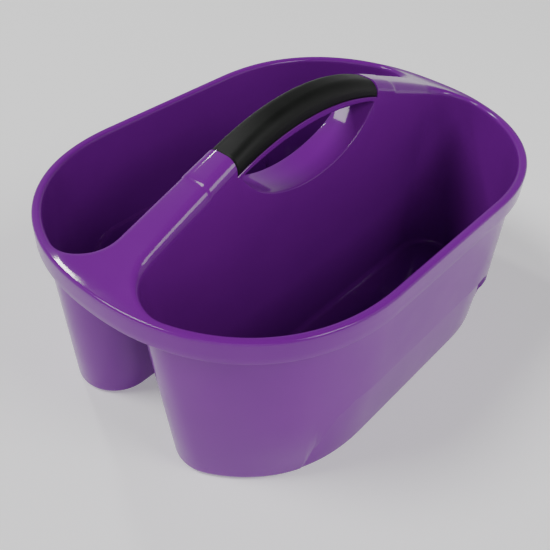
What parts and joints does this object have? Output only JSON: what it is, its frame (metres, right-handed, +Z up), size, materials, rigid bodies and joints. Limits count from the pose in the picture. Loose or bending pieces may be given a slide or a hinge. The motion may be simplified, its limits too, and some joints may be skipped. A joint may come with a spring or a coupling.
{
  "type": "cleaning caddy",
  "caption": "Open-topped carry caddy with two D-shaped bins either side of a raised divider, an arched handle moulded in one with it, and a soft rubber grip.",
  "frame": {"origin": "centre of the outer box, on the surface the caddy stands on", "axes": "+Z up; X along the handle and the longer side; Y across, from one bin to the other"},
  "size_m": [0.3998, 0.2848, 0.212],
  "materials": {
    "purple_polypropylene": "satin gloss, injection moulded",
    "black_rubber": "matte, fine moulded texture"
  },
  "bodies": {
    "root": {"tub": "purple_polypropylene", "grip": "black_rubber"}
  },
  "joints": []
}
